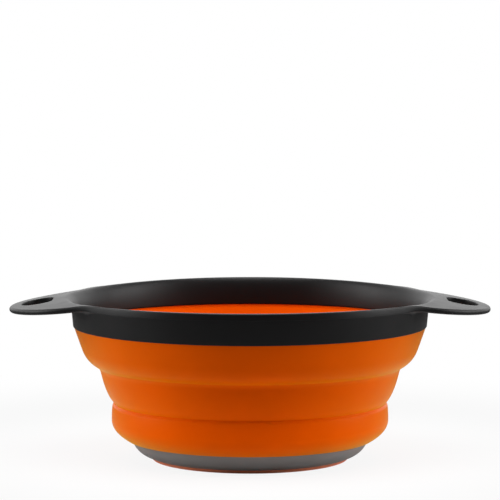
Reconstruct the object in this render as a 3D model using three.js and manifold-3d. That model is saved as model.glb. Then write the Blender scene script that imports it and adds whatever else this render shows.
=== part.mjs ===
// A round collapsible colander, shown opened out.
// Millimetres, +Z up, X along the two handles.
// The origin is the centre of the underside that the colander stands on.
import * as THREE from "three";
import { mergeVertices } from "three/addons/utils/BufferGeometryUtils.js";
import Module from "manifold-3d";

const wasm = await Module();
wasm.setup();

// Heights, from the table up
const FOOT_HEIGHT = 2.3;
const BASE_RING_HEIGHT = 11.2;
const LOWER_BAND_HEIGHT = 24.4;
const MIDDLE_BAND_HEIGHT = 23.9;
const UPPER_BAND_HEIGHT = 27.5;
const RIM_HEIGHT = 20.5;

// Rim: a drafted skirt under a rounded lip
const SKIRT_TOP_RADIUS = 119.2;
const SKIRT_DRAFT = 1.4;
const RIM_WALL = 3.2;
const LIP_OVERHANG = 1.2;
const LIP_HEIGHT = 6;
const LIP_ROUNDING = 2.1;

// Handles: two flat round lugs that flare into the lip and droop a little away from it
const HANDLE_REACH = 39.8;
const HANDLE_RADIUS = 60;
const HANDLE_FILLET = 50;
const HANDLE_THICKNESS = 3.8;
const HANDLE_EDGE = 0.9;
const HANDLE_DROP = 1;
const HANDLE_DROOP = THREE.MathUtils.degToRad(9.4);
const SLOT_TIP_BAR = 7.4;
const SLOT_LENGTH = 21;
const SLOT_HALF_WIDTH = 18;
const SLOT_CORNER = 10;

// Key between rim and wall: a thin tongue with windows that the wall is moulded through
const TONGUE_DEPTH = 6.5;
const TONGUE_THICKNESS = 0.9;
const TONGUE_COVER = 0.6;
const COLLAR_END = 1.5;
const COLLAR_TAPER = 3;
const WINDOW_COUNT = 10;
const WINDOW_WIDTH = 12;
const WINDOW_HEIGHT = 2.6;
const KEY_GAP = 0.3;

// Bellows wall: radii of its outside, band by band, with the corners its curves bend round
const WALL = 2.2;
const BAND_REVEAL = 0.5;
const UPPER_SHOULDER_RADIUS = 109.2;
const UPPER_SHOULDER_RISE = 4.6;
const UPPER_SHOULDER_REACH = 8;
const UPPER_FOLD_RADIUS = 100.3;
const UPPER_FOLD_RISE = 9.5;
const MIDDLE_SHOULDER_RADIUS = 96.6;
const MIDDLE_SHOULDER_RISE = 5.8;
const BULGE_RADIUS = 92.4;
const BULGE_RISE = 12.7;
const BULGE_LEAD = 6.5;
const LOWER_FOLD_INSET = 1.3;
const LOWER_SHOULDER_RISE = 5.9;
const HINGE_HALF_HEIGHT = 2.2;

// Base: outer ring, strainer dish inside it, soft foot ring underneath
const BASE_TOP_RADIUS = 80.4;
const BASE_BELLY_RADIUS = 77.4;
const BASE_BELLY_RISE = 2.8;
const BASE_FOOT_RADIUS = 67.5;
const BASE_WALL = 2.4;
const FOOT_LEDGE = 3.8;
const FOOT_EDGE = 1.4;
const FOOT_TAPER = 2.6;
const DISH_WALL = 2.2;
const DISH_OVERLAP = 5.6;
const PLATE_THICKNESS = 2.2;
const SEAT_GAP = 0.3;
const BEAD_HEIGHT = 0.8;
const BEAD_HALF_WIDTH = 1.2;
const WALL_BEAD_RISE = 3.2;
const RING_BEAD_DROP = 4.5;

// Drain holes: rings of round holes, each ring with a fixed number more than the one inside it
const HOLE_DIAMETER = 5;
const HOLE_RING_PITCH = 10.2;
const HOLE_MARGIN = 3;
const HOLES_PER_STEP = 6;
const HOLE_SIDES = 8;

// Facets: every ring has the same ones, so that nested rings keep their gaps
const RING_SEGMENTS = 40;
const CURVE_STEPS = 4;
const HANDLE_CURVE_STEPS = 5;
const WELD = 1e-4;

// Levels and radii that follow from the sizes above
const footTop = FOOT_HEIGHT;
const baseTop = footTop + BASE_RING_HEIGHT;
const lowerFold = baseTop + LOWER_BAND_HEIGHT;
const upperFold = lowerFold + MIDDLE_BAND_HEIGHT;
const skirtBottom = upperFold + UPPER_BAND_HEIGHT;
const rimTop = skirtBottom + RIM_HEIGHT;
const lipRadius = SKIRT_TOP_RADIUS + LIP_OVERHANG;
const skirtBottomRadius = SKIRT_TOP_RADIUS - SKIRT_DRAFT;
const bandTopRadius = skirtBottomRadius - BAND_REVEAL;
const lowerFoldRadius = BULGE_RADIUS - LOWER_FOLD_INSET;
const collarWall = TONGUE_THICKNESS + 2 * (KEY_GAP + TONGUE_COVER);
const collarBottom = skirtBottom - TONGUE_DEPTH - COLLAR_END;

// A ring turned about Z from a closed outline of [radius, height] points, outside going up
function turned(outline) {
  const closed = [...outline, outline[0]].map(([r, z]) => new THREE.Vector2(r, z));
  return new THREE.LatheGeometry(closed, RING_SEGMENTS).rotateX(Math.PI / 2);
}

function toSolid(geometry) {
  const bare = geometry.clone();
  bare.deleteAttribute("normal");
  bare.deleteAttribute("uv");
  const welded = mergeVertices(bare, WELD);
  const vertProperties = Float32Array.from(welded.getAttribute("position").array);
  const triVerts = Uint32Array.from(welded.getIndex().array);
  return new wasm.Manifold(new wasm.Mesh({ numProp: 3, vertProperties, triVerts }));
}

function toGeometry(solid) {
  const { vertProperties, triVerts } = solid.getMesh();
  const geometry = new THREE.BufferGeometry();
  geometry.setAttribute("position", new THREE.BufferAttribute(vertProperties, 3));
  geometry.setIndex(new THREE.BufferAttribute(triVerts, 1));
  geometry.computeVertexNormals();
  return geometry;
}

// Points of a circular arc in the plane of a ring's outline
function arcPoints(centreR, centreZ, radius, fromAngle, toAngle) {
  const curve = new THREE.ArcCurve(centreR, centreZ, radius, fromAngle, toAngle);
  return curve.getPoints(CURVE_STEPS).map((p) => [p.x, p.y]);
}

// The outside of the bellows and base, from the rim's skirt down to the foot
function wallOutline() {
  const top = new THREE.Vector2(bandTopRadius, skirtBottom);
  const corner = new THREE.Vector2(UPPER_SHOULDER_RADIUS, upperFold + UPPER_SHOULDER_RISE);
  const fold = new THREE.Vector2(UPPER_FOLD_RADIUS, upperFold);
  const reach = Math.min(UPPER_SHOULDER_REACH, corner.distanceTo(fold), corner.distanceTo(top));
  const above = top.clone().sub(corner).setLength(reach).add(corner);
  const below = fold.clone().sub(corner).setLength(reach).add(corner);
  const bulge = baseTop + BULGE_RISE;
  const bulgeLead = Math.min(BULGE_LEAD, lowerFold - bulge);
  return new THREE.Path()
    .moveTo(top.x, top.y)
    .lineTo(above.x, above.y)
    .quadraticCurveTo(corner.x, corner.y, below.x, below.y)
    .lineTo(fold.x, fold.y)
    .quadraticCurveTo(
      MIDDLE_SHOULDER_RADIUS, lowerFold + MIDDLE_SHOULDER_RISE,
      lowerFoldRadius, lowerFold,
    )
    .quadraticCurveTo(BULGE_RADIUS, bulge + bulgeLead, BULGE_RADIUS, bulge)
    .quadraticCurveTo(BULGE_RADIUS, baseTop + LOWER_SHOULDER_RISE, BASE_TOP_RADIUS, baseTop)
    .quadraticCurveTo(BASE_BELLY_RADIUS, footTop + BASE_BELLY_RISE, BASE_FOOT_RADIUS, footTop)
    .getPoints(CURVE_STEPS)
    .reverse();
}

const wallPoints = wallOutline();

// Outside radius of the bellows or base at a height
function radiusAt(z) {
  const next = wallPoints.findIndex((p) => p.y >= z);
  const high = wallPoints[next];
  const low = wallPoints[Math.max(next - 1, 0)];
  const share = high.y > low.y ? (z - low.y) / (high.y - low.y) : 0;
  return low.x + (high.x - low.x) * share;
}

// The outline's own heights between two levels, with extra ones added, in rising order
function levelsBetween(low, high, extra = []) {
  const inside = [...wallPoints.map((p) => p.y), ...extra].filter((z) => z > low && z < high);
  const sorted = [low, ...inside, high].sort((a, b) => a - b);
  return sorted.filter((z, i) => i === 0 || z - sorted[i - 1] > WELD);
}

// A ring of the wall between two levels; depthAt gives how far its inside lies under its outside
function wallRing(low, high, depthAt, extra) {
  const outside = levelsBetween(low, high).map((z) => [radiusAt(z), z]);
  const inside = levelsBetween(low, high, extra).map((z) => [radiusAt(z) - depthAt(z), z]);
  return turned([...outside, ...inside.reverse()]);
}

const plainWall = () => WALL;

// Two snap beads on the dish: one in the wall's foot, one in the base ring
const beadLevels = [baseTop + WALL_BEAD_RISE, baseTop - RING_BEAD_DROP];
const beadEdges = beadLevels.flatMap((z) => [z - BEAD_HALF_WIDTH, z, z + BEAD_HALF_WIDTH]);

function beadAt(z) {
  const nearest = Math.min(...beadLevels.map((level) => Math.abs(z - level)));
  return BEAD_HEIGHT * Math.max(0, 1 - nearest / BEAD_HALF_WIDTH);
}

// Boxes spaced round the collar, through the tongue
function keyBoxes(width, height) {
  const level = skirtBottom - TONGUE_DEPTH / 2;
  const step = (2 * Math.PI) / WINDOW_COUNT;
  const facetMiddle = Math.PI / RING_SEGMENTS;
  const radius = radiusAt(level) - collarWall / 2;
  return Array.from({ length: WINDOW_COUNT }, (_, i) => {
    const box = new THREE.BoxGeometry(2 * collarWall, width, height);
    box.translate(radius, 0, level).rotateZ(i * step + facetMiddle);
    return toSolid(box);
  });
}

// The tongue below the skirt, grown by a gap on every side for the groove that takes it
function tongueOutline(gap, top) {
  const skin = TONGUE_COVER + KEY_GAP - gap;
  const bottom = skirtBottom - TONGUE_DEPTH - gap;
  return [
    [radiusAt(bottom) - skin, bottom],
    [bandTopRadius - skin, top],
    [bandTopRadius - collarWall + skin, top],
    [radiusAt(bottom) - collarWall + skin, bottom],
  ];
}

// Plan outline of one handle, filleted into the lip and rooted inside the rim's wall
function handleShape() {
  const rootRadius = SKIRT_TOP_RADIUS - RIM_WALL / 2;
  const tip = lipRadius + HANDLE_REACH;
  const lugX = tip - HANDLE_RADIUS;
  const lipToFillet = lipRadius + HANDLE_FILLET;
  const lugToFillet = HANDLE_RADIUS + HANDLE_FILLET;
  const filletX = (lipToFillet ** 2 + lugX ** 2 - lugToFillet ** 2) / (2 * lugX);
  const filletY = Math.sqrt(lipToFillet ** 2 - filletX ** 2);
  const rootAngle = Math.atan2(filletY, filletX);
  const lugAngle = Math.atan2(filletY, filletX - lugX);
  const shape = new THREE.Shape();
  shape.absarc(filletX, -filletY, HANDLE_FILLET, Math.PI - rootAngle, Math.PI - lugAngle, true);
  shape.absarc(lugX, 0, HANDLE_RADIUS, -lugAngle, lugAngle);
  shape.absarc(filletX, filletY, HANDLE_FILLET, Math.PI + lugAngle, Math.PI + rootAngle, true);
  shape.absarc(0, 0, rootRadius, rootAngle, -rootAngle, true);
  shape.holes.push(slotPath(tip - SLOT_TIP_BAR));
  return shape;
}

// The hanging slot: straight towards the bowl, rounded towards the handle's tip
function slotPath(outerX) {
  const innerX = outerX - SLOT_LENGTH;
  const corner = Math.min(SLOT_CORNER, SLOT_HALF_WIDTH, SLOT_LENGTH);
  const cornerX = innerX + corner;
  const cornerY = SLOT_HALF_WIDTH - corner;
  const turn = Math.PI / 2;
  return new THREE.Path()
    .moveTo(innerX, -cornerY)
    .lineTo(innerX, cornerY)
    .quadraticCurveTo(innerX, SLOT_HALF_WIDTH, cornerX, SLOT_HALF_WIDTH)
    .absellipse(cornerX, 0, outerX - cornerX, SLOT_HALF_WIDTH, turn, -turn, true)
    .quadraticCurveTo(innerX, -SLOT_HALF_WIDTH, innerX, -cornerY);
}

// One handle: its top face starts HANDLE_DROP under the lip's crest and droops outside the skirt
function handleSolid(side) {
  const edge = Math.min(HANDLE_EDGE, HANDLE_THICKNESS / 2 - WELD);
  const plate = new THREE.ExtrudeGeometry(handleShape(), {
    depth: HANDLE_THICKNESS - 2 * edge,
    bevelThickness: edge,
    bevelSize: edge,
    bevelOffset: -edge,
    bevelSegments: 1,
    curveSegments: HANDLE_CURVE_STEPS,
  });
  const points = plate.getAttribute("position");
  for (let i = 0; i < points.count; i += 1) {
    const outside = Math.max(0, Math.hypot(points.getX(i), points.getY(i)) - SKIRT_TOP_RADIUS);
    points.setZ(i, points.getZ(i) - outside * Math.tan(HANDLE_DROOP));
  }
  plate.translate(0, 0, rimTop - HANDLE_DROP + edge - HANDLE_THICKNESS);
  return toSolid(plate.rotateZ(side));
}

// Rim and handles, one moulding
function rimGeometry() {
  const rounding = Math.min(LIP_ROUNDING, (RIM_WALL + LIP_OVERHANG) / 2, LIP_HEIGHT - LIP_OVERHANG);
  const innerTopRadius = SKIRT_TOP_RADIUS - RIM_WALL;
  const lipBottom = rimTop - LIP_HEIGHT;
  const crest = rimTop - rounding;
  const [tongueOuterLow, tongueOuterTop, tongueInnerTop, tongueInnerLow] = tongueOutline(0, skirtBottom);
  const outline = [
    [skirtBottomRadius, skirtBottom],
    [SKIRT_TOP_RADIUS, lipBottom],
    [lipRadius, lipBottom + LIP_OVERHANG],
    ...arcPoints(lipRadius - rounding, crest, rounding, 0, Math.PI / 2),
    ...arcPoints(innerTopRadius + rounding, crest, rounding, Math.PI / 2, Math.PI),
    [skirtBottomRadius - RIM_WALL, skirtBottom],
    tongueInnerTop,
    tongueInnerLow,
    tongueOuterLow,
    tongueOuterTop,
  ];
  let rim = toSolid(turned(outline));
  for (const window of keyBoxes(WINDOW_WIDTH, WINDOW_HEIGHT)) {
    rim = rim.subtract(window);
  }
  return toGeometry(rim.add(handleSolid(0)).add(handleSolid(Math.PI)));
}

// Upper band: a thick collar round the tongue, thinning to the plain wall below it
function upperBandGeometry() {
  const taperEnd = collarBottom - COLLAR_TAPER;
  const depth = (z) => THREE.MathUtils.mapLinear(
    THREE.MathUtils.clamp(z, taperEnd, collarBottom), taperEnd, collarBottom, WALL, collarWall,
  );
  const low = upperFold + UPPER_FOLD_RISE;
  const band = toSolid(wallRing(low, skirtBottom, depth, [taperEnd, collarBottom]));
  let groove = toSolid(turned(tongueOutline(KEY_GAP, skirtBottom + KEY_GAP)));
  for (const plug of keyBoxes(WINDOW_WIDTH - 2 * KEY_GAP, WINDOW_HEIGHT - 2 * KEY_GAP)) {
    groove = groove.subtract(plug);
  }
  return toGeometry(band.subtract(groove));
}

function upperFoldGeometry() {
  return wallRing(upperFold - HINGE_HALF_HEIGHT, upperFold + UPPER_FOLD_RISE, plainWall);
}

function middleBandGeometry() {
  return wallRing(lowerFold + HINGE_HALF_HEIGHT, upperFold - HINGE_HALF_HEIGHT, plainWall);
}

function lowerFoldGeometry() {
  return wallRing(lowerFold - HINGE_HALF_HEIGHT, lowerFold + HINGE_HALF_HEIGHT, plainWall);
}

function lowerBandGeometry() {
  const depth = (z) => WALL - beadAt(z);
  return wallRing(baseTop, lowerFold - HINGE_HALF_HEIGHT, depth, beadEdges);
}

function baseRingGeometry() {
  return wallRing(footTop, baseTop, (z) => BASE_WALL - beadAt(z), beadEdges);
}

// How deep the dish's outer and inner faces lie under the outside of the wall and base ring
const ringDishDepth = BASE_WALL + SEAT_GAP;
const wallDishDepth = WALL + SEAT_GAP;
const seatRadius = BASE_FOOT_RADIUS - ringDishDepth - DISH_WALL;
const plateRadius = seatRadius - SEAT_GAP;
const plateTop = footTop + PLATE_THICKNESS;
const footInnerRadius = plateRadius - FOOT_LEDGE;

// The dish's rising side; its thick foot takes the plate flush
function dishWallGeometry() {
  const top = baseTop + DISH_OVERLAP;
  const outer = (depth) => (z) => [radiusAt(z) - depth + beadAt(z), z];
  const inner = (depth) => (z) => [radiusAt(z) - depth - DISH_WALL, z];
  const outline = [
    ...levelsBetween(footTop, baseTop, beadEdges).map(outer(ringDishDepth)),
    ...levelsBetween(baseTop, top, beadEdges).map(outer(wallDishDepth)),
    ...levelsBetween(baseTop, top).map(inner(wallDishDepth)).reverse(),
    ...levelsBetween(plateTop, baseTop).map(inner(ringDishDepth)).reverse(),
    [seatRadius, plateTop],
    [seatRadius, footTop],
  ];
  return turned(outline);
}

function circlePoints(centreX, centreY, radius, sides) {
  return Array.from({ length: sides }, (_, i) => {
    const angle = (i * 2 * Math.PI) / sides;
    return new THREE.Vector2(centreX + radius * Math.cos(angle), centreY + radius * Math.sin(angle));
  });
}

// The flat perforated floor, let into the dish and held up by the foot ring's inner edge
function strainerPlateGeometry() {
  const shape = new THREE.Shape(circlePoints(0, 0, plateRadius, RING_SEGMENTS));
  const holeRadius = HOLE_DIAMETER / 2;
  const rings = Math.floor((footInnerRadius - HOLE_MARGIN - holeRadius) / HOLE_RING_PITCH);
  shape.holes.push(new THREE.Path(circlePoints(0, 0, holeRadius, HOLE_SIDES)));
  for (let ring = 1; ring <= rings; ring += 1) {
    for (const centre of circlePoints(0, 0, ring * HOLE_RING_PITCH, ring * HOLES_PER_STEP)) {
      shape.holes.push(new THREE.Path(circlePoints(centre.x, centre.y, holeRadius, HOLE_SIDES)));
    }
  }
  const plate = new THREE.ExtrudeGeometry(shape, { depth: PLATE_THICKNESS, bevelEnabled: false });
  return plate.translate(0, 0, footTop);
}

function footRingGeometry() {
  const width = BASE_FOOT_RADIUS - footInnerRadius;
  const edge = Math.min(FOOT_EDGE, FOOT_HEIGHT - WELD, width / 2 - WELD);
  const taper = Math.min(FOOT_TAPER, width / 2 - WELD);
  return turned([
    [footInnerRadius + edge, 0],
    [BASE_FOOT_RADIUS - taper, 0],
    [BASE_FOOT_RADIUS, footTop],
    [footInnerRadius, footTop],
    [footInnerRadius, edge],
  ]);
}

const blackPlastic = { color: 0x242324, roughness: 0.5, metalness: 0 };
const charcoalPlastic = { color: 0x343335, roughness: 0.5, metalness: 0 };
const greyPlastic = { color: 0x7d7873, roughness: 0.45, metalness: 0 };
const orangeRubber = { color: 0xe0650c, roughness: 0.6, metalness: 0 };

const colander = new THREE.Group();

function addPart(name, geometry, finish) {
  const mesh = new THREE.Mesh(geometry, new THREE.MeshStandardMaterial(finish));
  mesh.name = name;
  colander.add(mesh);
}

addPart("rim_frame", rimGeometry(), blackPlastic);
addPart("upper_band", upperBandGeometry(), orangeRubber);
addPart("upper_fold", upperFoldGeometry(), orangeRubber);
addPart("middle_band", middleBandGeometry(), orangeRubber);
addPart("lower_fold", lowerFoldGeometry(), orangeRubber);
addPart("lower_band", lowerBandGeometry(), orangeRubber);
addPart("dish_wall", dishWallGeometry(), charcoalPlastic);
addPart("strainer_plate", strainerPlateGeometry(), charcoalPlastic);
addPart("base_ring", baseRingGeometry(), greyPlastic);
addPart("foot_ring", footRingGeometry(), orangeRubber);

export default colander;
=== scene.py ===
"""Looks of a collapsible colander: satin black rim, orange bellows wall, grey base."""

import math

import bpy
from mathutils import Matrix, Vector


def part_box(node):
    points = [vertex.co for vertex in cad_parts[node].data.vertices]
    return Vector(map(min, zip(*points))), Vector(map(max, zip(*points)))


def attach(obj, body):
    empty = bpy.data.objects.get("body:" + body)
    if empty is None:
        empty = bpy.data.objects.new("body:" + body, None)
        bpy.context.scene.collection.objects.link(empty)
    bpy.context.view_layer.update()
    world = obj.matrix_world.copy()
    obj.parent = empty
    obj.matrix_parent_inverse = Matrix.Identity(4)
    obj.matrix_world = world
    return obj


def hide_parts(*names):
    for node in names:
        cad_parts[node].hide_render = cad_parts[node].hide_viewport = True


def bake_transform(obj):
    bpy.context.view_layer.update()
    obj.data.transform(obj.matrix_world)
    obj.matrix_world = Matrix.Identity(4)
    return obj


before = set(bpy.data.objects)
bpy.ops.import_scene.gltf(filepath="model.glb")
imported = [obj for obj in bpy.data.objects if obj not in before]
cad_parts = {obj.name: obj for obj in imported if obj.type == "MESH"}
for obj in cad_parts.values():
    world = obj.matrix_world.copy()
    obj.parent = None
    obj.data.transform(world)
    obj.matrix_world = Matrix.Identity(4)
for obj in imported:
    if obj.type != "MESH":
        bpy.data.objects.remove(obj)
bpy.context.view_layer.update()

MM = 0.001
TINY = 1e-9
WHITE = (1, 1, 1, 1)

# Levels and radii that the frame gives
rim_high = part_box("rim_frame")[1]
band_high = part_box("upper_band")[1]
fold_low, fold_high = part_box("lower_fold")
plate_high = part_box("strainer_plate")[1]
foot_low, foot_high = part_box("foot_ring")
ring_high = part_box("base_ring")[1]
RIM_TOP = rim_high.z
LIP_RADIUS = rim_high.y
SKIRT_BOTTOM = band_high.z
BAND_TOP_RADIUS = band_high.x
HINGE_HALF_HEIGHT = (fold_high.z - fold_low.z) / 2
LOWER_FOLD = (fold_high.z + fold_low.z) / 2
UPPER_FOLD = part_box("middle_band")[1].z + HINGE_HALF_HEIGHT
BASE_TOP = ring_high.z
BASE_TOP_RADIUS = ring_high.x
DISH_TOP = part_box("dish_wall")[1].z
FOOT_TOP = foot_high.z
FOOT_BOTTOM = foot_low.z
FOOT_RADIUS = foot_high.x
PLATE_TOP = plate_high.z
PLATE_RADIUS = plate_high.x

# Rim and handles
SKIRT_TOP_RADIUS = 119.2 * MM
SKIRT_BOTTOM_RADIUS = 117.8 * MM
SKIRT_EDGE = 0.5 * MM
RIM_WALL = 3.2 * MM
LIP_HEIGHT = 4.4 * MM
LIP_FLARE = 2.1 * MM
LIP_EDGE = 0.9 * MM
LIP_STEP = 0.2 * MM
HANDLE_TIP = 160.2 * MM
HANDLE_RADIUS = 60 * MM
HANDLE_FILLET = 50 * MM
HANDLE_THICKNESS = 3.8 * MM
HANDLE_EDGE = 1.8 * MM
HANDLE_DROP = 1 * MM
HANDLE_DROOP = math.radians(9.4)
HANDLE_FLARE = 8 * MM
HANDLE_FLARE_SPREAD = math.radians(60)
DROP_START = math.radians(85)
DROP_END = math.radians(18)
HANDLE_BLEND = 12 * MM
UNDER_FILLET = 3 * MM
SLOT_TIP_BAR = 7.4 * MM
SLOT_LENGTH = 21 * MM
SLOT_HALF_WIDTH = 18 * MM
SLOT_CORNER = 10 * MM
SLOT_ROUNDING = 0.8 * MM

# Bellows wall, whose collar stands up inside the rim's skirt
WALL = 2.2 * MM
COLLAR_RADIUS = BAND_TOP_RADIUS - 0.9 * MM
COLLAR_TOP = SKIRT_BOTTOM + 1.7 * MM
COLLAR_GAP = 0.05 * MM
UPPER_SHOULDER_RADIUS = 109.2 * MM
UPPER_SHOULDER_RISE = 4.6 * MM
UPPER_SHOULDER_REACH = 8 * MM
UPPER_FOLD_RADIUS = 100.3 * MM
UPPER_FILLET_STEPS = 2
MIDDLE_SHOULDER_RADIUS = 96.6 * MM
MIDDLE_SHOULDER_RISE = 5.8 * MM
LOWER_FOLD_RADIUS = 91.1 * MM
LOWER_GROOVE = 0.6 * MM
LOWER_ROLL = 0.7 * MM
LOWER_ROLL_DROP = 1.5 * MM
BULGE_RADIUS = 92.4 * MM
BULGE_RISE = 12.7 * MM
BULGE_LEAD = 6.5 * MM
LOWER_SHOULDER_RISE = 5.9 * MM
HEM_OVERHANG = 1.7 * MM
CREASE_SOFTNESS = 0.35 * MM
WALL_STEP = 0.34 * MM

# Base ring, dish and foot
RING_TOP_INSET = 1.2 * MM
BASE_BELLY_RADIUS = 77.4 * MM
BASE_BELLY_RISE = 2.8 * MM
BASE_WALL = 2.4 * MM
BASE_INSET = 0.4 * MM
DISH_WALL = 2.2 * MM
DISH_GAP = 0.3 * MM
DISH_FILLET = 3 * MM
DISH_LIP_ROUNDING = 0.5 * MM
FLOOR_PLATE_RADIUS = PLATE_RADIUS - DISH_FILLET * 2
FOOT_LEDGE = 3.8 * MM
FOOT_INSET = 0.3 * MM
FOOT_TAPER = 2.3 * MM
FOOT_ROUNDING = 0.5 * MM
HOLE_RADIUS = 2.5 * MM
HOLE_RING_PITCH = 10.2 * MM
HOLE_ROUNDING = 0.4 * MM
HOLES_PER_STEP = 6
HOLE_RINGS = 5

# Mesh density and shading
RING_SEGMENTS = 180
RIM_SEGMENTS = 360
CURVE_STEPS = 24
ARC_STEPS = 8
EDGE_STEPS = 4
SKIRT_STEPS = 6
UNDERSIDE_STEPS = 16
TOP_STEPS = 20
HOLE_EDGE_STEPS = 2
RIM_SHARP_ANGLE = math.radians(50)
WALL_SHARP_ANGLE = math.radians(60)
DISH_SHARP_ANGLE = math.radians(40)

# Skin of the moulded materials
MOTTLE_SCALE = 22
MOTTLE_DETAIL = 3
MOTTLE_LOW = 0.3
MOTTLE_HIGH = 0.7
GLOSS_SCALE = 70
GLOSS_DETAIL = 4
GLOSS_SPREAD = 0.06
GRAIN_DETAIL = 2
GRAIN_STRENGTH = 0.6

# Floor: white to the camera with a faint shadow, plain paper to the light and under the strainer
FLOOR_SIZE = 60.0
FLOOR_SHADOW = 0.12
SHADOW_START = 0.15
SHADOW_END = 0.45
UNDERSIDE_EDGE = 6 * MM
PAPER_NEAR = 0.08
PAPER_FAR = 0.32
PAPER_WHITE = 0.7
PAPER_GREY = 0.12

# Room: a white backdrop behind the colander that fades to a dark room in front of it
ROOM_FRONT = 0.0
ROOM_BACK = 1.6
BACKDROP_START = -0.5
BACKDROP_FULL = 0.95

# Softboxes, all turned to the middle of the colander
LIGHT_AIM = Vector((0, 0, 0.06))
LEFT_LIGHT = Vector((-1.6, -0.1, 0.5))
RIGHT_LIGHT = Vector((1.6, -0.1, 0.5))
SIDE_LIGHT_SIZE = 1.1
SIDE_LIGHT_POWER = 17.5
TOP_LIGHT = Vector((0, -0.45, 1.6))
TOP_LIGHT_SIZE = 1.2
TOP_LIGHT_POWER = 30

# Camera: far off, a little above the rim, with the colander low in a square picture
PICTURE_SIZE = 500
SENSOR_WIDTH = 36
FOCAL_LENGTH_PIXELS = 2691.5
CAMERA_DISTANCE = 1.8
CAMERA_ELEVATION = math.radians(7.51)
AIM_HEIGHT = 0.0588
AIM_ROW = 370.2


def smooth(t):
    t = max(0.0, min(1.0, t))
    return t * t * (3 - 2 * t)


def mix(a, b, t):
    return a + (b - a) * t


def new_object(name, vertices, faces):
    mesh = bpy.data.meshes.new(name)
    mesh.from_pydata(vertices, [], faces)
    mesh.update()
    piece = bpy.data.objects.new(name, mesh)
    bpy.context.scene.collection.objects.link(piece)
    return piece


def shade(piece, sharp_angle):
    piece.data.shade_smooth()
    piece.data.set_sharp_from_angle(angle=sharp_angle)


def ring_faces(rows, columns):
    """Quads of a grid that closes on itself both round the ring and round its section."""
    faces = []
    for i in range(columns):
        for j in range(rows):
            here, there = i * rows, ((i + 1) % columns) * rows
            k = (j + 1) % rows
            faces.append((here + j, there + j, there + k, here + k))
    return faces


def swept_ring(name, section_at, columns):
    """A closed ring whose section, a list of (radius, height), may change with the angle."""
    vertices = []
    for i in range(columns):
        angle = 2 * math.pi * i / columns
        section = section_at(angle)
        vertices += [(r * math.cos(angle), r * math.sin(angle), z) for r, z in section]
    return new_object(name, vertices, ring_faces(len(section), columns))


def turned(name, section):
    """A closed ring of constant section, its outside going up."""
    return swept_ring(name, lambda angle: section, RING_SEGMENTS)


def bend(start, corner, end, steps=CURVE_STEPS):
    """Points of a quadratic curve, without its start."""
    points = []
    for i in range(1, steps + 1):
        t = i / steps
        points.append(start * (1 - t) ** 2 + corner * 2 * t * (1 - t) + end * t * t)
    return points


def oval(centre_r, centre_z, width, height, start, end, steps=ARC_STEPS):
    """Points of an elliptical arc, its angles in right angles."""
    points = []
    for i in range(steps + 1):
        angle = mix(start, end, i / steps) * math.pi / 2
        points.append((centre_r + width * math.cos(angle), centre_z + height * math.sin(angle)))
    return points


def arc(centre_r, centre_z, radius, start, end, steps=ARC_STEPS):
    """Points of a circular arc, its angles in right angles."""
    return oval(centre_r, centre_z, radius, radius, start, end, steps)


def span(start, end, steps):
    """Points strictly between two places on a straight line."""
    return [
        (mix(start[0], end[0], i / steps), mix(start[1], end[1], i / steps))
        for i in range(1, steps)
    ]


def evenly(points, step):
    """The same line with points a fixed distance apart."""
    lengths = [0.0]
    for a, b in zip(points, points[1:]):
        lengths.append(lengths[-1] + (b - a).length)
    count = round(lengths[-1] / step)
    result = []
    k = 0
    for i in range(count + 1):
        at = lengths[-1] * i / count
        while k < len(points) - 2 and lengths[k + 1] < at:
            k += 1
        share = (at - lengths[k]) / (lengths[k + 1] - lengths[k])
        result.append(points[k].lerp(points[k + 1], share))
    return result


def softened(points, reach, step):
    """The same line with its corners rounded over about the given reach."""
    passes = round((reach / step) ** 2 * 2)
    for _ in range(max(1, passes)):
        inner = [
            (a + b * 2 + c) / 4
            for a, b, c in zip(points, points[1:], points[2:])
        ]
        points = [points[0], *inner, points[-1]]
    return points


# Handle outline, as the distance from the middle in each direction
LUG_X = HANDLE_TIP - HANDLE_RADIUS
LIP_TO_FILLET = LIP_RADIUS + HANDLE_FILLET
LUG_TO_FILLET = HANDLE_RADIUS + HANDLE_FILLET
FILLET_X = (LIP_TO_FILLET ** 2 + LUG_X ** 2 - LUG_TO_FILLET ** 2) / (2 * LUG_X)
FILLET_Y = math.sqrt(LIP_TO_FILLET ** 2 - FILLET_X ** 2)
ROOT_ANGLE = math.atan2(FILLET_Y, FILLET_X)
LUG_END_X = LUG_X + (FILLET_X - LUG_X) * HANDLE_RADIUS / LUG_TO_FILLET
LUG_END_Y = FILLET_Y * HANDLE_RADIUS / LUG_TO_FILLET
LUG_ANGLE = math.atan2(LUG_END_Y, LUG_END_X)


def from_handle(angle):
    """The angle to the nearest handle's middle line."""
    return abs(math.remainder(angle, math.pi))


def outer_radius(off):
    """Distance to the rim's outer edge at an angle off a handle's middle line."""
    if off >= ROOT_ANGLE:
        return LIP_RADIUS
    c, s = math.cos(off), math.sin(off)
    if off >= LUG_ANGLE:
        along = FILLET_X * c + FILLET_Y * s
        across = FILLET_X * s - FILLET_Y * c
        return along - math.sqrt(max(0.0, HANDLE_FILLET ** 2 - across ** 2))
    return LUG_X * c + math.sqrt(HANDLE_RADIUS ** 2 - (LUG_X * s) ** 2)


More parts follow.
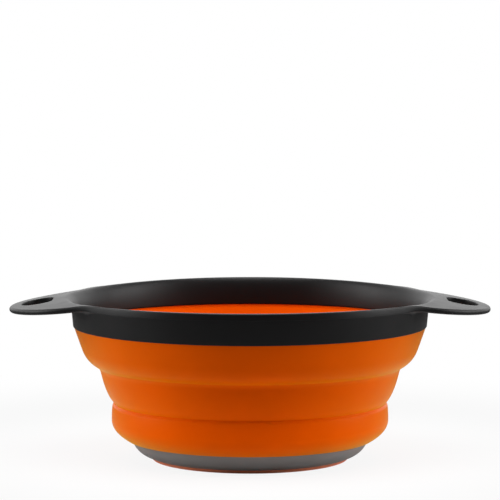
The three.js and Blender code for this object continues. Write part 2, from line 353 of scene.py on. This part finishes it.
def rim_section(angle):
    """Section of the rim: skirt, lip or handle, and the inside that flares into the handle."""
    off = from_handle(angle)
    outer = outer_radius(off)
    handle = smooth((outer - LIP_RADIUS) / HANDLE_BLEND)
    drop = HANDLE_DROP * smooth((DROP_START - off) / (DROP_START - DROP_END))
    flare = mix(LIP_FLARE, HANDLE_FLARE, smooth(1 - off / HANDLE_FLARE_SPREAD))
    thickness = mix(LIP_HEIGHT, HANDLE_THICKNESS, handle)
    slope = math.tan(HANDLE_DROOP) * handle
    edge = mix(LIP_EDGE, HANDLE_EDGE, handle)
    skirt_top = mix(LIP_RADIUS - LIP_STEP, SKIRT_TOP_RADIUS, handle)
    room = outer - skirt_top
    under_edge = min(HANDLE_EDGE, room / 2)
    under_fillet = min(UNDER_FILLET, room - under_edge)

    def top(r):
        return RIM_TOP - drop - slope * max(0.0, r - SKIRT_TOP_RADIUS)

    def under(r):
        return top(r) - thickness

    crest = SKIRT_TOP_RADIUS - RIM_WALL + flare
    inside = SKIRT_BOTTOM_RADIUS - RIM_WALL
    inside_bottom = COLLAR_TOP + SKIRT_EDGE
    edge_centre = outer - edge
    under_start = outer - under_edge
    under_end = skirt_top + under_fillet
    skirt_low = (SKIRT_BOTTOM_RADIUS, SKIRT_BOTTOM + SKIRT_EDGE)
    skirt_high = (skirt_top, under(under_end))
    return [
        *arc(SKIRT_BOTTOM_RADIUS - SKIRT_EDGE, skirt_low[1], SKIRT_EDGE, -1, 0, EDGE_STEPS),
        *span(skirt_low, skirt_high, SKIRT_STEPS),
        *arc(under_end, under(under_end) - under_fillet, under_fillet, 2, 1),
        *span((under_end, under(under_end)), (under_start, under(under_start)), UNDERSIDE_STEPS),
        *arc(under_start, under(under_start) + under_edge, under_edge, -1, 0),
        *arc(edge_centre, top(edge_centre) - edge, edge, 0, 1),
        *span((edge_centre, top(edge_centre)), (crest, top(crest)), TOP_STEPS),
        *oval(crest, inside_bottom, crest - inside, top(crest) - inside_bottom, 1, 2, CURVE_STEPS),
        *arc(inside + SKIRT_EDGE, inside_bottom, SKIRT_EDGE, 2, 3, EDGE_STEPS),
        (COLLAR_RADIUS, COLLAR_TOP),
        (COLLAR_RADIUS, SKIRT_BOTTOM),
    ]


def slot_outline(grow):
    """The hanging slot in plan: straight towards the bowl, rounded towards the tip."""
    outer = HANDLE_TIP - SLOT_TIP_BAR + grow
    inner = HANDLE_TIP - SLOT_TIP_BAR - SLOT_LENGTH - grow
    half = SLOT_HALF_WIDTH + grow
    corner = SLOT_CORNER + grow
    start = inner + corner
    points = []
    for i in range(2 * CURVE_STEPS + 1):
        angle = mix(-math.pi / 2, math.pi / 2, i / (2 * CURVE_STEPS))
        points.append(Vector((start + (outer - start) * math.cos(angle), half * math.sin(angle))))
    upper = bend(
        Vector((start, half)), Vector((inner, half)), Vector((inner, half - corner)), ARC_STEPS
    )
    lower = [Vector((p.x, -p.y)) for p in upper[::-1]]
    return [*points, *upper, *lower]


def slot_cutter(name, turn):
    """A spool that cuts a slot with rounded edges through one drooping handle."""
    half = HANDLE_THICKNESS / 2
    levels = []
    for i in range(ARC_STEPS + 1):
        angle = i / ARC_STEPS * math.pi / 2
        rise = half - SLOT_ROUNDING + SLOT_ROUNDING * math.sin(angle)
        levels.append((rise, SLOT_ROUNDING * (1 - math.cos(angle))))
    levels.append((half + SLOT_ROUNDING, SLOT_ROUNDING * 2))
    levels = [(-rise, grow) for rise, grow in levels[::-1]] + levels
    vertices = []
    for rise, grow in levels:
        vertices += [(p.x, p.y, rise - half) for p in slot_outline(grow)]
    columns = len(slot_outline(0))
    faces = [
        (i * columns + j, i * columns + (j + 1) % columns,
         (i + 1) * columns + (j + 1) % columns, (i + 1) * columns + j)
        for i in range(len(levels) - 1)
        for j in range(columns)
    ]
    faces.append(tuple(range(columns))[::-1])
    faces.append(tuple(range((len(levels) - 1) * columns, len(levels) * columns)))
    cutter = new_object(name, vertices, faces)
    pivot = Vector((SKIRT_TOP_RADIUS, 0, RIM_TOP - HANDLE_DROP))
    place = Matrix.Translation(pivot) @ Matrix.Rotation(HANDLE_DROOP, 4, "Y")
    place = place @ Matrix.Translation((-pivot.x, 0, 0))
    cutter.data.transform(Matrix.Rotation(turn, 4, "Z") @ place)
    return cutter


def cut(piece, cutter):
    modifier = piece.modifiers.new("cut", "BOOLEAN")
    modifier.object = cutter
    modifier.operation = "DIFFERENCE"
    modifier.solver = "EXACT"
    graph = bpy.context.evaluated_depsgraph_get()
    result = bpy.data.meshes.new_from_object(piece.evaluated_get(graph))
    piece.modifiers.clear()
    piece.data = result
    bpy.data.objects.remove(cutter)


def make_rim():
    rim = swept_ring("rim_moulding", rim_section, RIM_SEGMENTS)
    for side in range(2):
        cut(rim, slot_cutter("slot_cutter", side * math.pi))
    shade(rim, RIM_SHARP_ANGLE)
    return rim


def outlines():
    """Outside of the wall and of the base ring, and the line that the dish is seated under."""
    top = Vector((BAND_TOP_RADIUS, SKIRT_BOTTOM))
    shoulder = Vector((UPPER_SHOULDER_RADIUS, UPPER_FOLD + UPPER_SHOULDER_RISE))
    fold = Vector((UPPER_FOLD_RADIUS, UPPER_FOLD))
    above = shoulder + (top - shoulder).normalized() * UPPER_SHOULDER_REACH
    below = shoulder + (fold - shoulder).normalized() * UPPER_SHOULDER_REACH
    middle_shoulder = Vector((MIDDLE_SHOULDER_RADIUS, LOWER_FOLD + MIDDLE_SHOULDER_RISE))
    lower_fold = Vector((LOWER_FOLD_RADIUS - LOWER_GROOVE, LOWER_FOLD))
    middle = bend(fold, middle_shoulder, lower_fold)[UPPER_FILLET_STEPS:]
    roll = Vector((LOWER_FOLD_RADIUS + LOWER_ROLL, LOWER_FOLD - LOWER_ROLL_DROP))
    bulge = Vector((BULGE_RADIUS, BASE_TOP + BULGE_RISE))
    lead = Vector((bulge.x, bulge.y + BULGE_LEAD))
    lower_shoulder = Vector((bulge.x, BASE_TOP + LOWER_SHOULDER_RISE))
    hem = Vector((BASE_TOP_RADIUS + HEM_OVERHANG, BASE_TOP))
    wall = [top, above, *bend(above, shoulder, below)]
    wall += [*bend(below, fold, middle[0]), *middle[1:]]
    wall += [roll, *bend(roll, lead, bulge)]
    wall += bend(bulge, lower_shoulder, hem)
    ring_top = Vector((BASE_TOP_RADIUS - RING_TOP_INSET, BASE_TOP))
    belly = Vector((BASE_BELLY_RADIUS, FOOT_TOP + BASE_BELLY_RISE))
    ring = [ring_top, *bend(ring_top, belly, Vector((FOOT_RADIUS, FOOT_TOP)))]
    seat = [bulge, *bend(bulge, lower_shoulder, ring_top), *ring[1:]]
    return wall, ring, seat


WALL_LINE, RING_LINE, SEAT_LINE = outlines()


def shell_section(line, depth, crown=()):
    """A section of constant radial thickness behind a falling line, with its crown on top."""
    outside = [(p.x, p.y) for p in line]
    inside = [(p.x - depth, p.y) for p in line]
    return [*outside[::-1], *crown, *inside]


def make_wall():
    line = softened(evenly(WALL_LINE, WALL_STEP), CREASE_SOFTNESS, WALL_STEP)
    collar = [
        (COLLAR_RADIUS - COLLAR_GAP, SKIRT_BOTTOM),
        (COLLAR_RADIUS - COLLAR_GAP, COLLAR_TOP - COLLAR_GAP),
        (line[0].x - WALL, COLLAR_TOP - COLLAR_GAP),
    ]
    wall = turned("bellows_wall", shell_section(line, WALL, collar))
    shade(wall, WALL_SHARP_ANGLE)
    return wall


def make_base_ring():
    line = [Vector((p.x - BASE_INSET, p.y)) for p in evenly(RING_LINE, WALL_STEP)]
    ring = turned("base_ring_cover", shell_section(line, BASE_WALL - BASE_INSET))
    shade(ring, WALL_SHARP_ANGLE)
    return ring


def make_foot_ring():
    inner = PLATE_RADIUS - FOOT_LEDGE
    outer = FOOT_RADIUS - FOOT_INSET
    low_centre = FOOT_BOTTOM + FOOT_ROUNDING
    section = [
        *arc(outer - FOOT_TAPER, low_centre, FOOT_ROUNDING, -1, -0.5),
        (outer, FOOT_TOP),
        (inner, FOOT_TOP),
        *arc(inner + FOOT_ROUNDING, low_centre, FOOT_ROUNDING, 2, 3),
    ]
    foot = turned("foot_pad", section)
    shade(foot, WALL_SHARP_ANGLE)
    return foot


def radius_on(line, z):
    """Radius of a falling line at a height."""
    for a, b in zip(line, line[1:]):
        if a.y >= z >= b.y:
            return mix(a.x, b.x, (a.y - z) / max(a.y - b.y, TINY))
    return line[-1].x


def dish_section():
    """Section of the dish's side: under the seat line outside, filleted into the floor inside."""
    heights = [mix(PLATE_TOP, DISH_TOP, i / CURVE_STEPS) for i in range(CURVE_STEPS + 1)]
    side_depth = max(WALL, BASE_WALL) + DISH_GAP
    outer = [(radius_on(SEAT_LINE, z) - side_depth, z) for z in heights]
    inner = [(r - DISH_WALL, z) for r, z in outer]
    half = DISH_WALL / 2
    lip_height = DISH_TOP - DISH_LIP_ROUNDING
    lip = oval(outer[-1][0] - half, lip_height, half, DISH_LIP_ROUNDING, 1 / 3, 5 / 3, EDGE_STEPS)
    corner = Vector((inner[1][0] - DISH_FILLET / 2, PLATE_TOP))
    fillet_start = corner - Vector((DISH_FILLET, 0))
    fillet = bend(fillet_start, corner, Vector(inner[ARC_STEPS]), ARC_STEPS)
    return [
        (FLOOR_PLATE_RADIUS, FOOT_TOP),
        (PLATE_RADIUS, FOOT_TOP),
        *outer[:-1],
        *lip,
        *inner[-2:ARC_STEPS:-1],
        *[(p.x, p.y) for p in fillet[::-1]],
        (FLOOR_PLATE_RADIUS, PLATE_TOP),
    ]


def circle_spline(curve, x, y, radius, points):
    spline = curve.splines.new("POLY")
    spline.points.add(points - 1)
    spline.use_cyclic_u = True
    for i, point in enumerate(spline.points):
        angle = 2 * math.pi * i / points
        point.co = (x + radius * math.cos(angle), y + radius * math.sin(angle), 0, 1)


def make_floor_plate():
    """The dish's floor with rings of drain holes round a middle one."""
    curve = bpy.data.curves.new("strainer_floor", "CURVE")
    curve.dimensions = "2D"
    curve.fill_mode = "BOTH"
    curve.bevel_depth = HOLE_ROUNDING
    curve.bevel_resolution = HOLE_EDGE_STEPS
    curve.offset = -HOLE_ROUNDING
    curve.extrude = (PLATE_TOP - FOOT_TOP) / 2 - HOLE_ROUNDING
    circle_spline(curve, 0, 0, FLOOR_PLATE_RADIUS, RING_SEGMENTS)
    circle_spline(curve, 0, 0, HOLE_RADIUS, CURVE_STEPS)
    for ring in range(1, HOLE_RINGS + 1):
        reach = ring * HOLE_RING_PITCH
        count = ring * HOLES_PER_STEP
        for i in range(count):
            angle = 2 * math.pi * i / count
            x, y = reach * math.cos(angle), reach * math.sin(angle)
            circle_spline(curve, x, y, HOLE_RADIUS, CURVE_STEPS)
    outline = bpy.data.objects.new("strainer_floor", curve)
    bpy.context.scene.collection.objects.link(outline)
    graph = bpy.context.evaluated_depsgraph_get()
    mesh = bpy.data.meshes.new_from_object(outline.evaluated_get(graph))
    bpy.data.objects.remove(outline)
    plate = bpy.data.objects.new("strainer_floor", mesh)
    plate.location.z = (PLATE_TOP + FOOT_TOP) / 2
    bpy.context.scene.collection.objects.link(plate)
    shade(plate, DISH_SHARP_ANGLE)
    return plate


def make_dish():
    side = turned("strainer_dish", dish_section())
    shade(side, DISH_SHARP_ANGLE)
    return side


def moulded(name, colour, roughness, grain_size, grain_depth, mottle, **sockets):
    """A moulded plastic or rubber: fine skin grain, uneven gloss and faint mottling."""
    material = bpy.data.materials.new(name)
    material.use_nodes = True
    nodes, links = material.node_tree.nodes, material.node_tree.links
    shader = nodes["Principled BSDF"]
    for socket, value in sockets.items():
        shader.inputs[socket.replace("_", " ")].default_value = value
    place = nodes.new("ShaderNodeTexCoord").outputs["Object"]

    def noise(scale, detail):
        node = nodes.new("ShaderNodeTexNoise")
        node.inputs["Scale"].default_value = scale
        node.inputs["Detail"].default_value = detail
        links.new(place, node.inputs["Vector"])
        return node.outputs["Fac"]

    tint = nodes.new("ShaderNodeValToRGB")
    dark, light = tint.color_ramp.elements
    dark.position = MOTTLE_LOW
    light.position = MOTTLE_HIGH
    dark.color = (*[c * (1 - mottle) for c in colour], 1)
    light.color = (*[min(1.0, c * (1 + mottle)) for c in colour], 1)
    links.new(noise(MOTTLE_SCALE, MOTTLE_DETAIL), tint.inputs["Fac"])
    links.new(tint.outputs["Color"], shader.inputs["Base Color"])
    gloss = nodes.new("ShaderNodeMapRange")
    gloss.inputs["To Min"].default_value = roughness - GLOSS_SPREAD
    gloss.inputs["To Max"].default_value = roughness + GLOSS_SPREAD
    links.new(noise(GLOSS_SCALE, GLOSS_DETAIL), gloss.inputs["Value"])
    links.new(gloss.outputs["Result"], shader.inputs["Roughness"])
    bump = nodes.new("ShaderNodeBump")
    bump.inputs["Strength"].default_value = GRAIN_STRENGTH
    bump.inputs["Distance"].default_value = grain_depth
    links.new(noise(1 / grain_size, GRAIN_DETAIL), bump.inputs["Height"])
    links.new(bump.outputs["Normal"], shader.inputs["Normal"])
    return material


def rim_material():
    return moulded(
        "satin_black", colour=(0.0035, 0.0034, 0.0037), roughness=0.44,
        grain_size=0.7 * MM, grain_depth=0.03 * MM, mottle=0.10,
        Specular_IOR_Level=0.25,
    )


def wall_material():
    return moulded(
        "orange_rubber", colour=(0.80, 0.079, 0.0001), roughness=0.32,
        grain_size=0.9 * MM, grain_depth=0.02 * MM, mottle=0.04,
        Specular_IOR_Level=0.04, Specular_Tint=(1, 0.75, 0.02, 1),
        Sheen_Weight=0.42, Sheen_Tint=(1, 0.9, 0, 1),
    )


def dish_material():
    return moulded(
        "satin_charcoal", colour=(0.030, 0.029, 0.031), roughness=0.42,
        grain_size=0.7 * MM, grain_depth=0.03 * MM, mottle=0.08,
    )


def base_material():
    return moulded(
        "satin_grey", colour=(0.197, 0.207, 0.205), roughness=0.40,
        grain_size=0.7 * MM, grain_depth=0.02 * MM, mottle=0.06,
    )


# The foot is the wall's orange rubber, painted paler and lighter than the wall's copy: painted
# light that stands in for the bounce light the foot lacks in the shade under the base.
def foot_material():
    return moulded(
        "foot_rubber_with_painted_light", colour=(0.86, 0.27, 0.14), roughness=0.60,
        grain_size=0.9 * MM, grain_depth=0.03 * MM, mottle=0.06,
    )


def dress(piece, material, slot, *nodes):
    piece.data.materials.clear()
    piece.data.materials.append(material)
    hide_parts(*nodes)


def floor_material():
    material = bpy.data.materials.new("white_paper")
    material.use_nodes = True
    nodes, links = material.node_tree.nodes, material.node_tree.links
    nodes.remove(nodes["Principled BSDF"])
    place = nodes.new("ShaderNodeTexCoord").outputs["Object"]
    away = nodes.new("ShaderNodeVectorMath")
    away.operation = "LENGTH"
    links.new(place, away.inputs[0])

    def by_distance(near, far, at_near, at_far, interpolation):
        node = nodes.new("ShaderNodeMapRange")
        node.interpolation_type = interpolation
        node.inputs["From Min"].default_value = near
        node.inputs["From Max"].default_value = far
        node.inputs["To Min"].default_value = at_near
        node.inputs["To Max"].default_value = at_far
        links.new(away.outputs["Value"], node.inputs["Value"])
        return node.outputs["Result"]

    def product(a, b):
        node = nodes.new("ShaderNodeMath")
        node.operation = "MULTIPLY"
        links.new(a, node.inputs[0])
        links.new(b, node.inputs[1])
        return node.outputs["Value"]

    paper = nodes.new("ShaderNodeBsdfDiffuse")
    tone = by_distance(PAPER_NEAR, PAPER_FAR, PAPER_WHITE, PAPER_GREY, "SMOOTHSTEP")
    links.new(tone, paper.inputs["Color"])
    white = nodes.new("ShaderNodeEmission")
    outside = by_distance(PLATE_RADIUS - UNDERSIDE_EDGE, PLATE_RADIUS, 0, 1, "LINEAR")
    bright = by_distance(SHADOW_START, SHADOW_END, 1 - FLOOR_SHADOW, 1, "SMOOTHSTEP")
    camera_ray = nodes.new("ShaderNodeLightPath").outputs["Is Camera Ray"]
    both = nodes.new("ShaderNodeMixShader")
    links.new(product(camera_ray, product(outside, bright)), both.inputs["Fac"])
    links.new(paper.outputs["BSDF"], both.inputs[1])
    links.new(white.outputs["Emission"], both.inputs[2])
    links.new(both.outputs["Shader"], nodes["Material Output"].inputs["Surface"])
    return material


def make_floor():
    half = FLOOR_SIZE / 2
    corners = [(-half, -half, 0), (half, -half, 0), (half, half, 0), (-half, half, 0)]
    floor = new_object("floor", corners, [(0, 1, 2, 3)])
    floor.location.z = FOOT_BOTTOM
    floor.data.materials.append(floor_material())


def make_world():
    """White to the camera; to the light, a backdrop that fades towards the front."""
    world = bpy.data.worlds.new("studio")
    world.use_nodes = True
    nodes, links = world.node_tree.nodes, world.node_tree.links
    room = nodes["Background"]
    room.inputs["Color"].default_value = WHITE
    axes = nodes.new("ShaderNodeSeparateXYZ")
    links.new(nodes.new("ShaderNodeTexCoord").outputs["Generated"], axes.inputs["Vector"])
    level = nodes.new("ShaderNodeMapRange")
    level.interpolation_type = "SMOOTHSTEP"
    level.inputs["From Min"].default_value = BACKDROP_START
    level.inputs["From Max"].default_value = BACKDROP_FULL
    level.inputs["To Min"].default_value = ROOM_FRONT
    level.inputs["To Max"].default_value = ROOM_BACK
    links.new(axes.outputs["Y"], level.inputs["Value"])
    links.new(level.outputs["Result"], room.inputs["Strength"])
    white = nodes.new("ShaderNodeBackground")
    white.inputs["Color"].default_value = WHITE
    both = nodes.new("ShaderNodeMixShader")
    links.new(nodes.new("ShaderNodeLightPath").outputs["Is Camera Ray"], both.inputs["Fac"])
    links.new(room.outputs["Background"], both.inputs[1])
    links.new(white.outputs["Background"], both.inputs[2])
    links.new(both.outputs["Shader"], nodes["World Output"].inputs["Surface"])
    bpy.context.scene.world = world


def soft_light(name, place, size, power):
    light = bpy.data.lights.new(name, "AREA")
    light.shape = "SQUARE"
    light.size = size
    light.energy = power
    lamp = bpy.data.objects.new(name, light)
    lamp.location = place
    lamp.rotation_euler = (LIGHT_AIM - place).to_track_quat("-Z", "Y").to_euler()
    bpy.context.scene.collection.objects.link(lamp)


def make_camera():
    lens = bpy.data.cameras.new("camera")
    lens.sensor_width = SENSOR_WIDTH
    lens.lens = SENSOR_WIDTH * FOCAL_LENGTH_PIXELS / PICTURE_SIZE
    camera = bpy.data.objects.new("camera", lens)
    across = CAMERA_DISTANCE * math.cos(CAMERA_ELEVATION)
    camera.location = (0, -across, AIM_HEIGHT + CAMERA_DISTANCE * math.sin(CAMERA_ELEVATION))
    below_middle = math.atan((AIM_ROW - PICTURE_SIZE / 2) / FOCAL_LENGTH_PIXELS)
    camera.rotation_euler = (math.pi / 2 - CAMERA_ELEVATION + below_middle, 0, 0)
    bpy.context.scene.collection.objects.link(camera)
    bpy.context.scene.camera = camera


# Pieces
rim = make_rim()
dress(rim, rim_material(), "rim_plastic", "rim_frame")
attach(rim, "rim")

wall = make_wall()
dress(wall, wall_material(), "wall_rubber",
      "upper_band", "upper_fold", "middle_band", "lower_fold", "lower_band")
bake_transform(wall)

dish = make_dish()
plate = make_floor_plate()
charcoal = dish_material()
dress(dish, charcoal, "dish_plastic", "dish_wall")
dress(plate, charcoal, "dish_plastic", "strainer_plate")
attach(dish, "base")
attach(plate, "base")

base_ring = make_base_ring()
dress(base_ring, base_material(), "base_plastic", "base_ring")
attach(base_ring, "base")

foot = make_foot_ring()
dress(foot, foot_material(), "foot_rubber", "foot_ring")
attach(foot, "base")

# Studio
make_floor()
make_world()
soft_light("left_softbox", LEFT_LIGHT, SIDE_LIGHT_SIZE, SIDE_LIGHT_POWER)
soft_light("right_softbox", RIGHT_LIGHT, SIDE_LIGHT_SIZE, SIDE_LIGHT_POWER)
soft_light("top_softbox", TOP_LIGHT, TOP_LIGHT_SIZE, TOP_LIGHT_POWER)
make_camera()
bpy.context.scene.view_settings.view_transform = "Standard"
